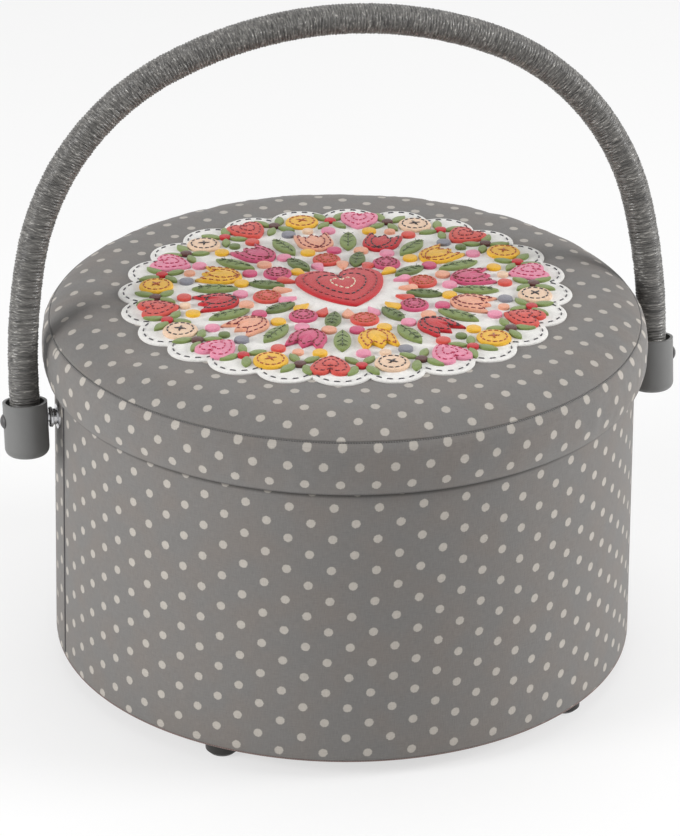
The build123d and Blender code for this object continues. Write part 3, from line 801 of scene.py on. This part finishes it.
def arc_through(a, b, c, count):
    """Points on the arc from a through b to c, without c itself."""
    ax, ay, bx, by, cx, cy = *a, *b, *c
    d = 2 * (ax * (by - cy) + bx * (cy - ay) + cx * (ay - by))
    ux = ((ax**2 + ay**2) * (by - cy) + (bx**2 + by**2) * (cy - ay) + (cx**2 + cy**2) * (ay - by)) / d
    uy = ((ax**2 + ay**2) * (cx - bx) + (bx**2 + by**2) * (ax - cx) + (cx**2 + cy**2) * (bx - ax)) / d
    first, via, last = (atan2(p[1] - uy, p[0] - ux) for p in (a, b, c))
    radius = hypot(ax - ux, ay - uy)
    sweep = (last - first) % tau
    if (via - first) % tau > sweep:
        sweep -= tau
    angles = [first + sweep * k / count for k in range(count)]
    return [(ux + radius * cos(angle), uy + radius * sin(angle)) for angle in angles]


def mirrored(half):
    """A closed outline from its right half, which starts and ends on the middle line."""
    return half + [(-x, y) for x, y in half[::-1] if abs(x) > 1e-6]


def scaled(outline, scale, middle=(0, 0)):
    """The outline made larger or smaller about a point."""
    return [(middle[0] + (x - middle[0]) * scale, middle[1] + (y - middle[1]) * scale) for x, y in outline]


def heart(size):
    lobe = arc_through((0, 0.25), (0.3, 0.46), (0.48, 0.18), 12)
    flank = arc_through((0.48, 0.18), (0.33, -0.2), (0, -0.5), 12)
    return scaled(mirrored(lobe + flank + [(0, -0.5)]), size)


def tulip(size):
    cup = arc_through((0, -0.5), (0.34, -0.28), (0.42, 0.1), 14)
    tips = [(0.42, 0.1), (0.42, 0.3), (0.4, 0.5), (0.28, 0.36), (0.17, 0.22), (0.08, 0.35), (0, 0.46)]
    return scaled(mirrored(cup + tips), size)


def leaf(length, width):
    half = arc_through((0, -length / 2), (width / 2, 0), (0, length / 2), 14)
    return mirrored(half + [(0, length / 2)])


def drop(length, width):
    """A drop with its round end outwards."""
    half = arc_through((0, -length / 2), (width * 0.3, -length * 0.12), (width / 2, length * 0.2), 7)
    cap = arc_through((width / 2, length * 0.2), (width * 0.36, length * 0.42), (0, length / 2), 7)
    return mirrored(half + cap + [(0, length / 2)])


def disc(radius, count=28):
    return [(radius * cos(tau * k / count), radius * sin(tau * k / count)) for k in range(count)]


def put(points, place):
    """Points of a motif, turned and moved to its place on the picture."""
    x, y, turn = place
    return [(x + px * cos(turn) - py * sin(turn), y + px * sin(turn) + py * cos(turn)) for px, py in points]


# A motif's rounded edge and top, as rings of its outline: how large each is, and its height in thicknesses of felt
EDGE_RINGS = ((1.0, -0.15), (1.015, 0.35), (1.0, 0.7), (0.965, 0.92))
FELT_RINGS = EDGE_RINGS + ((0.9, 1.0), (0.7, 1.0), (0.45, 1.0), (0.2, 1.0))


def motifs(name, shapes, material, thick=MOTIF_FELT, middle=(0, 0), crown=0.7):
    """Felt shapes with soft edges, sewn down at their outline. shapes is a list of (outline, place), and crown is
    how much higher their middle stands."""
    points, faces = [], []
    for outline, place in shapes:
        faces += skin(len(points), len(FELT_RINGS), len(outline))
        for scale, height in FELT_RINGS:
            lift = crown * (1 - scale) if scale < 1 else 0.0
            for x, y in put(scaled(outline, scale, middle), place):
                lump = 0.12 * noise.noise(Vector((x * 0.35, y * 0.35, 4)))
                points.append(on_dome(x, y, GROUND_FELT + thick * height + lift + lump))
    return make(name, points, faces, material, "lid")


def stitches(outline, height, length, gap, sag, closed=True):
    """Short stitches along an outline, each dipping into the felt by sag at its ends."""
    loop = [Vector((x, y)) for x, y in outline]
    if closed:
        loop = loop + [loop[0]]
    lengths = [0.0]
    for a, b in zip(loop, loop[1:]):
        lengths.append(lengths[-1] + (b - a).length)
    total = lengths[-1]
    count = max(1, round(total / (length + gap)))
    each = total / count

    def at(distance):
        distance = distance % total if closed else min(max(distance, 0), total)
        for k in range(len(loop) - 1):
            if lengths[k + 1] >= distance:
                part = (distance - lengths[k]) / max(lengths[k + 1] - lengths[k], 1e-9)
                return loop[k].lerp(loop[k + 1], part)
        return loop[-1]

    paths = []
    for k in range(count):
        start = k * each + gap / 2
        path = []
        for t in (0.0, 0.18, 0.5, 0.82, 1.0):
            point = at(start + t * (each - gap))
            path.append(on_dome(point.x, point.y, height - (sag if t in (0.0, 1.0) else 0.0)))
        paths.append(path)
    return paths


def scalloped(inset, step):
    """The ground's outline, moved in by inset. step is the angle in degrees between points on a scallop."""
    centres = ring_places(GROUND_REACH - SCALLOP_RADIUS, GROUND_SCALLOPS)
    reach = SCALLOP_RADIUS - inset
    edge = []
    for k, (cx, cy, _) in enumerate(centres):
        neighbours = [centres[k - 1], centres[(k + 1) % GROUND_SCALLOPS]]
        out = atan2(cy, cx)
        for j in range(-int(80 / step), int(80 / step) + 1):
            angle = out + radians(step * j)
            x, y = cx + reach * cos(angle), cy + reach * sin(angle)
            if all(hypot(x - nx, y - ny) >= reach for nx, ny, _ in neighbours):
                edge.append((x, y))
    return edge


# The ground: one felt with a scalloped edge, which lies on the padded crown
edge = scalloped(0.0, 5.0)
edge_rings = [(1.0, -0.4), (1.003, 0.3), (1.001, 0.75), (0.994, 1.0)]
inner_rings = [(0.97 - 0.08 * k, 1.0) for k in range(12)]
rings = edge_rings + inner_rings
points = [on_dome(x, y, GROUND_FELT * height) for scale, height in rings for x, y in scaled(edge, scale)]
ground = make("ground", points, skin(0, len(rings), len(edge)), white_felt, "lid")
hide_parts("picture_ground")

# Its running stitch follows every scallop a little inside its edge. lines gathers the stitches of each yarn
lines = {name: [] for name in YARNS}
lines["charcoal"] += stitches(scalloped(2.1, 2.0), GROUND_FELT + 0.15, 3.0, 1.9, 0.45)

# Heart in the middle
middle_heart = motifs("big_heart", [(heart(HEART_SIZE), HEART_PLACE)], FELTS["red"], crown=HEART_CROWN)
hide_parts("picture_heart")
for thread, scale in (("wine", 0.84), ("black", 0.56)):
    outline = put(heart(HEART_SIZE * scale), HEART_PLACE)
    lines[thread] += stitches(outline, FELT_TOP + HEART_CROWN * (1 - scale) + 0.1, 2.4, 0.9, 0.3)
lines["cream"] += stitches(put(heart(HEART_SIZE * 0.28), HEART_PLACE), FELT_TOP + 1.25, 2.0, 0.8, 0.3)

# Leaves in two rings, each with a vein and side veins. A row is name, felt, length, width and places
LEAVES = (
    ("leaves_inner", "olive", 16, 7, ring_places(LEAF_RING, 8, 22.5)),
    ("leaves_outer", "green", 20, 7.5, ring_places(TULIP_RING, 12, 15)),
)
for name, colour, length, width, places in LEAVES:
    leaves = motifs(name, [(leaf(length, width), place) for place in places], FELTS[colour])
    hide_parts("picture_leaves")
    for place in places:
        spine = [(0, length * t) for t in (-0.4, -0.2, 0, 0.2, 0.38)]
        lines["leaf"] += stitches(put(spine, place), FELT_TOP + 0.55, 2.6, 0.5, 0.2, closed=False)
        for t in (-0.18, 0.05, 0.24):
            for side in (-1, 1):
                rib = [(0, length * t), (side * 2.2, length * (t + 0.12))]
                lines["leaf"].append([on_dome(x, y, FELT_TOP + 0.5) for x, y in put(rib, place)])

# Tulips in four colours
TULIP_COLOURS = (("magenta", "wine"), ("yellow", "rust"), ("red", "black"), ("peach", "wine"))
tulip_places = ring_places(TULIP_RING, 12)
for k, (colour, thread) in enumerate(TULIP_COLOURS):
    group = [(tulip(19), place) for place in tulip_places[k::4]]
    piece = motifs(f"tulips_{colour}", group, FELTS[colour], middle=(0, -2), crown=1.1)
    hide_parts("picture_tulips")
    for outline, place in group:
        for side in (-1, 1):
            petal = [(side * 3.2, 4.5), (side * 4.4, 0), (side * 3.4, -4), (0, -8)]
            lines[thread] += stitches(put(petal, place), FELT_TOP + 0.6, 2.4, 0.5, 0.2, closed=False)
        lines[thread] += stitches(put(scaled(outline, 0.84, (0, -2)), place), FELT_TOP + 0.25, 2.3, 0.9, 0.25)

# Outer ring of small hearts and buttons
HEART_COLOURS = (("pink", "rose"), ("coral", "wine"))
heart_places = ring_places(OUTER_RING, 10)
for k, (colour, thread) in enumerate(HEART_COLOURS):
    group = [(heart(18), place) for place in heart_places[k::2]]
    piece = motifs(f"hearts_{colour}", group, FELTS[colour], crown=1.2)
    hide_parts("picture_hearts")
    for outline, place in group:
        lines[thread] += stitches(put(scaled(outline, 0.78), place), FELT_TOP + 0.35, 2.2, 0.9, 0.25)
        lines[thread] += stitches(put(scaled(outline, 0.38), place), FELT_TOP + 0.8, 1.6, 0.6, 0.25)

BUTTON_COLOURS = (("yellow", "rust"), ("cream", "black"))
button_places = ring_places(OUTER_RING, 10, 18)
for k, (colour, thread) in enumerate(BUTTON_COLOURS):
    group = [(disc(7.4), place) for place in button_places[k::2]]
    piece = motifs(f"buttons_{colour}", group, FELTS[colour], crown=0.5)
    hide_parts("picture_buttons")
    for outline, place in group:
        lines[thread] += stitches(put(disc(5.6), place), FELT_TOP + 0.2, 2.0, 0.7, 0.25)
        for a, b in (((-1.7, -1.7), (1.7, 1.7)), ((-1.7, 1.7), (1.7, -1.7))):
            for shift in (-0.35, 0.35):
                bar = [(a[0] + shift, a[1]), (shift, 0), (b[0] + shift, b[1])]
                lines[thread].append([on_dome(x, y, FELT_TOP + 0.45) for x, y in put(bar, place)])

# Filling between the rings: felt spots, drops round the heart and round buds. A row is the ring's places, the
# outline, and the colours that take turns
bud_places = ring_places(LEAF_RING, 8)
FILLINGS = (
    (ring_places(OUTER_RING, 20, 9), disc(2.6, 16), ("red", "brown")),
    (ring_places(TIP_RING, 24, 7.5), disc(3.2, 18), ("yellow", "pink", "grey", "coral")),
    (ring_places(SMALL_SPOT_RING, 12), disc(2.5, 16), ("cream", "olive", "peach")),
    (ring_places(FILLING_RING, 24, 7.5), disc(3.3, 18), ("peach", "magenta", "yellow", "pink")),
    (ring_places(DROP_RING, 16, 11.25), drop(8.5, 5.6), ("pink", "yellow", "coral", "peach")),
    (bud_places, disc(6.2, 24), ("coral", "magenta")),
)
spots = {name: [] for name in FELTS}
for places, outline, colours in FILLINGS:
    for k, place in enumerate(places):
        spots[colours[k % len(colours)]].append((outline, place))
for k, place in enumerate(bud_places):
    for radius in (4.6, 2.6):
        lines[("rust", "wine")[k % 2]] += stitches(put(disc(radius), place), FELT_TOP + 0.25, 1.9, 0.7, 0.25)
for colour, group in spots.items():
    if group:
        piece = motifs(f"spots_{colour}", group, FELTS[colour], thick=1.3, crown=0.5)

# Sprigs: four small leaves round each spot of the outer ring. A row is a leaf's middle, length, width and turn
SPRIG_LEAVES = (((4.2, 4.4), 9.5, 4.2, -0.5), ((3.6, -5.2), 8.5, 3.8, 0.7))
sprigs = []
for place in ring_places(OUTER_RING, 20, 9):
    for side in (-1, 1):
        for (away, out), length, width, turn in SPRIG_LEAVES:
            x, y = put([(side * away, out)], place)[0]
            sprigs.append((leaf(length, width), (x, y, place[2] + side * turn)))
sprig_piece = motifs("sprigs", sprigs, FELTS["green"], thick=1.1, crown=0.4)

# The stitches of each yarn as one piece
for colour, paths in lines.items():
    if paths:
        piece = tubes(f"stitch_{colour}", paths, STITCH_RADIUS, YARNS[colour], "lid", 5)


# The wall's lap seam: the cloth's end turned over under the left pivot
FLAP_COLUMNS = 12
FLAP_ROWS = 24


def wall_at(z):
    """The wall's radius at a height."""
    narrowing = (WALL_FOOT[0] - WALL_TOP[0]) / (WALL_TOP[1] - WALL_FOOT[1])
    return WALL_TOP[0] + narrowing * (WALL_TOP[1] - z)


def flap_height(share):
    """The height at a share of the flap's own height."""
    return FLAP_BOTTOM + (FLAP_TOP - FLAP_BOTTOM) * share


points, faces = [], []
for k in range(FLAP_COLUMNS + 1):
    angle = FLAP_START + (LAP - FLAP_START) * k / FLAP_COLUMNS
    for j in range(FLAP_ROWS + 1):
        z = flap_height(j / FLAP_ROWS)
        ripple = 0.12 * noise.noise(Vector((z * 0.08, k * 0.2, 1)))
        lift = (0.05 if k == 0 else FLAP_LIFT) + ripple
        for radius in (wall_at(z) - 0.1, wall_at(z) + lift):
            points.append((radius * cos(angle), radius * sin(angle), z))
column = 2 * (FLAP_ROWS + 1)
for k in range(FLAP_COLUMNS):
    for j in range(FLAP_ROWS):
        a = k * column + 2 * j
        b, c, d = a + 2, a + column, a + column + 2
        faces += [(a + 1, b + 1, d + 1, c + 1), (a, b, d, c)]
        if k == 0:
            faces.append((a, b, b + 1, a + 1))
        if k == FLAP_COLUMNS - 1:
            faces.append((c, d, d + 1, c + 1))
        if j == 0:
            faces.append((a, c, c + 1, a + 1))
        if j == FLAP_ROWS - 1:
            faces.append((b, d, d + 1, b + 1))
flap = make("wall_lap", points, faces, flap_cloth, "box", smooth=False)

# The thread along the lap's edge: a charcoal strand that is stitching, and also painted shade in the gap beside the
# raised edge
lap_line = []
for j in range(60):
    z = flap_height(j / 59)
    radius = wall_at(z) + 0.05
    angle = LAP + 0.0022 + 0.0016 * noise.noise(Vector((z * 0.06, 0, 3)))
    lap_line.append((radius * cos(angle), radius * sin(angle), z))
lap = tubes("lap_thread_and_shade", [lap_line], 0.28, YARNS["charcoal"], "box")

# The hem: the brown edge of the base's cloth, which shows as a line under the wall's foot
hem = tubes("hem_thread", [circle(*HEM)], 0.32, YARNS["brown"], "box")

# Screws in the feet, with a hollow in the head
SCREW_HEAD = {"radius1": 2.7 * MM, "radius2": 2.2 * MM, "depth": 1.0 * MM}
for k in range(4):
    work = bmesh.new()
    bmesh.ops.create_cone(work, cap_ends=True, segments=32, **SCREW_HEAD)
    outer_faces = [face for face in work.faces if face.normal.z < -0.9]
    bmesh.ops.inset_region(work, faces=outer_faces, thickness=1.4 * MM, depth=-0.5 * MM)
    mesh = bpy.data.meshes.new(f"foot_screw_{k}")
    work.to_mesh(mesh)
    work.free()
    mesh.materials.append(hinge_steel)
    screw = linked(f"foot_screw_{k}", mesh)
    side, end = (-1, 1)[k % 2], (-1, 1)[k // 2]
    screw.location = Vector((side * FOOT_PLACE[0], end * FOOT_PLACE[1], FOOT_RECESS - 0.5)) * MM
    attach(screw, "box")

# Materials of the CAD nodes that stay
finishes = {
    "feet": foot_plastic,
    "base_cover": base_cloth,
    "base_board": grey_board,
    "floor_lining": lining_cloth,
    "wall_board": grey_board,
    "wall_cover": wall_cloth,
    "wall_lining": lining_cloth,
    "rim_collar": lining_cloth,
    "pivot_bolts": chrome,
    "pivot_spacers": chrome,
    "pivot_washers": chrome,
    "pivot_caps": cap_plastic,
    "hinge_leaf_box": hinge_steel,
    "hinge_leaf_lid": hinge_steel,
    "hinge_pin": hinge_steel,
    "lid_band_board": grey_board,
    "lid_top_board": grey_board,
    "lid_band_lining": lining_cloth,
    "lid_lining": lining_cloth,
    "handle_sockets": socket_plastic,
    "tray": tray_plastic,
    "tray_partitions": tray_plastic,
    "tray_grip": tray_plastic,
}
for node, material in finishes.items():
    nodes[node].data.materials.clear()
    nodes[node].data.materials.append(material)

# Moulded and pressed parts have softened edges
SOFT_EDGES = {
    "handle_sockets": 0.5,
    "tray": 0.5,
    "tray_partitions": 0.3,
    "tray_grip": 0.3,
    "pivot_spacers": 0.2,
    "pivot_caps": 0.3,
}
for node, width in SOFT_EDGES.items():
    bevel = nodes[node].modifiers.new("soft_edges", "BEVEL")
    bevel.width = width * MM
    bevel.segments = 3
    bevel.limit_method = "ANGLE"
    bevel.angle_limit = radians(40)
    bevel.harden_normals = False


# Floor and backdrop
def shown(tree):
    """1 for rays that show the stage itself, straight or mirrored, and 0 for rays that only light the box."""
    paths = tree.nodes.new("ShaderNodeLightPath")
    seen = paths.outputs["Is Camera Ray"]
    for kind in ("Is Glossy Ray", "Is Transmission Ray"):
        joined = tree.nodes.new("ShaderNodeMath")
        joined.operation = "ADD"
        joined.use_clamp = True
        tree.links.new(seen, joined.inputs[0])
        tree.links.new(paths.outputs[kind], joined.inputs[1])
        seen = joined.outputs[0]
    return seen


corners = [(x * FLOOR_REACH, y * FLOOR_REACH, 0) for x, y in ((-1, -1), (1, -1), (1, 1), (-1, 1))]
floor_mesh = bpy.data.meshes.new("floor")
floor_mesh.from_pydata(corners, [], [(0, 1, 2, 3)])
floor = linked("floor", floor_mesh)
floor_graph = Graph("floor", 0.9, Specular_IOR_Level=0.0)
floor_graph.colour(srgb(252, 252, 252))
glow = floor_graph.node("Emission")
blend = floor_graph.node("MixShader")
floor_graph.feed(blend.inputs[0], floor_graph.times(shown(floor_graph.tree), FLOOR_GLOW))
floor_graph.feed(blend.inputs[1], floor_graph.shader.outputs[0])
floor_graph.feed(blend.inputs[2], glow.outputs[0])
floor_graph.feed(floor_graph.tree.nodes["Material Output"].inputs[0], blend.outputs[0])
floor_mesh.materials.append(floor_graph.material)

world = bpy.data.worlds.new("studio")
bpy.context.scene.world = world
world.use_nodes = True
tree = world.node_tree
background = tree.nodes["Background"]
background.inputs[0].default_value = (1, 1, 1, 1)
strength = tree.nodes.new("ShaderNodeMapRange")
strength.inputs["To Min"].default_value = ROOM_LIGHT
strength.inputs["To Max"].default_value = 1.0
tree.links.new(shown(tree), strength.inputs[0])
tree.links.new(strength.outputs[0], background.inputs[1])


# Lights: three soft discs. Places, sizes and the point that they face are in metres
LIGHTS_FACE = Vector((0, 0, 0.09))


def softbox(name, place, size, watts):
    lamp = bpy.data.lights.new(name, "AREA")
    lamp.shape = "DISK"
    lamp.size = size
    lamp.energy = watts
    thing = linked(name, lamp)
    thing.location = place
    thing.rotation_euler = (LIGHTS_FACE - Vector(place)).to_track_quat("-Z", "Y").to_euler()


softbox("left_light", (-1.7, -0.35, 0.75), 0.9, 22)
softbox("right_light", (1.75, -0.5, 0.8), 0.9, 26)
softbox("top_light", (0.1, 0.3, 1.9), 1.2, 10)

# Camera, as fitted to the photograph
CAMERA_PLACE = Vector((-417.1, -1556.5, 887.8)) * MM
CAMERA_AHEAD = Vector((0.2320, 0.8696, -0.4359)).normalized()
CAMERA_ROLL = 0.010
SENSOR_WIDTH = 36
LENS = 174.56
camera_data = bpy.data.cameras.new("camera")
camera_data.sensor_width = SENSOR_WIDTH
camera_data.lens = LENS
camera_data.clip_start = 0.05
camera = linked("camera", camera_data)
right = CAMERA_AHEAD.cross(Vector((0, 0, 1))).normalized()
up = right.cross(CAMERA_AHEAD)
rolled_right = cos(CAMERA_ROLL) * right + sin(CAMERA_ROLL) * up
rolled_up = -sin(CAMERA_ROLL) * right + cos(CAMERA_ROLL) * up
axes = Matrix((rolled_right, rolled_up, -CAMERA_AHEAD)).transposed()
camera.matrix_world = Matrix.Translation(CAMERA_PLACE) @ axes.to_4x4()
bpy.context.scene.camera = camera
bpy.context.scene.view_settings.view_transform = "Standard"
